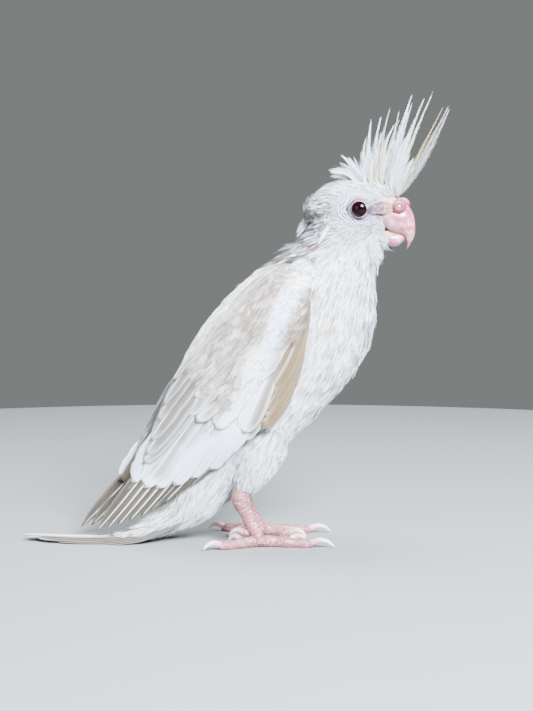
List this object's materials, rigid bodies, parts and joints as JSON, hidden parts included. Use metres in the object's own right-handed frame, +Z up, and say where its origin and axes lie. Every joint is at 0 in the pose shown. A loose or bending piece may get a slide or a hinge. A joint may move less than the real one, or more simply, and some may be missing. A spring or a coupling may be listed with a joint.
{
  "type": "cockatiel",
  "caption": "Life-size still model of a pale young cockatiel with a raised crest, standing with folded wings and its tail laid on the floor.",
  "frame": {"origin": "on the floor under the middle of the model's bounding box", "axes": "+X the way the bird faces, +Y its left side, +Z up"},
  "size_m": [0.1669, 0.057, 0.1734],
  "materials": {
    "body_feathers": "damp, ruffled near-white body plumage",
    "flight_feathers": "near-white wing feathers with tan vanes and pale shafts",
    "tail_feathers": "greyish olive-brown tail vanes, paler at the edges",
    "eye": "wet, very dark red eyeball, glossy",
    "lid_skin": "bare grey-lilac lid skin",
    "bill_horn": "semi-gloss pink horn",
    "cere_skin": "bare pink cere skin",
    "claw_horn": "pale translucent pink horn",
    "foot_skin": "pink scaly foot skin with pads"
  },
  "bodies": {
    "root": {"bill_lower": "bill_horn", "bill_upper": "bill_horn", "cere": "cere_skin", "claw_inner_back_left": "claw_horn", "claw_inner_back_right": "claw_horn", "claw_inner_front_left": "claw_horn", "claw_inner_front_right": "claw_horn", "claw_outer_back_left": "claw_horn", "claw_outer_back_right": "claw_horn", "claw_outer_front_left": "claw_horn", "claw_outer_front_right": "claw_horn", "crest": "body_feathers", "eye_left": "eye", "eye_right": "eye", "eyelids_left": "lid_skin", "eyelids_right": "lid_skin", "foot_left": "foot_skin", "foot_right": "foot_skin", "head": "body_feathers", "neck": "body_feathers", "tail": "tail_feathers", "thigh_left": "body_feathers", "thigh_right": "body_feathers", "torso": "body_feathers", "wing_left": "flight_feathers", "wing_right": "flight_feathers"}
  },
  "joints": []
}
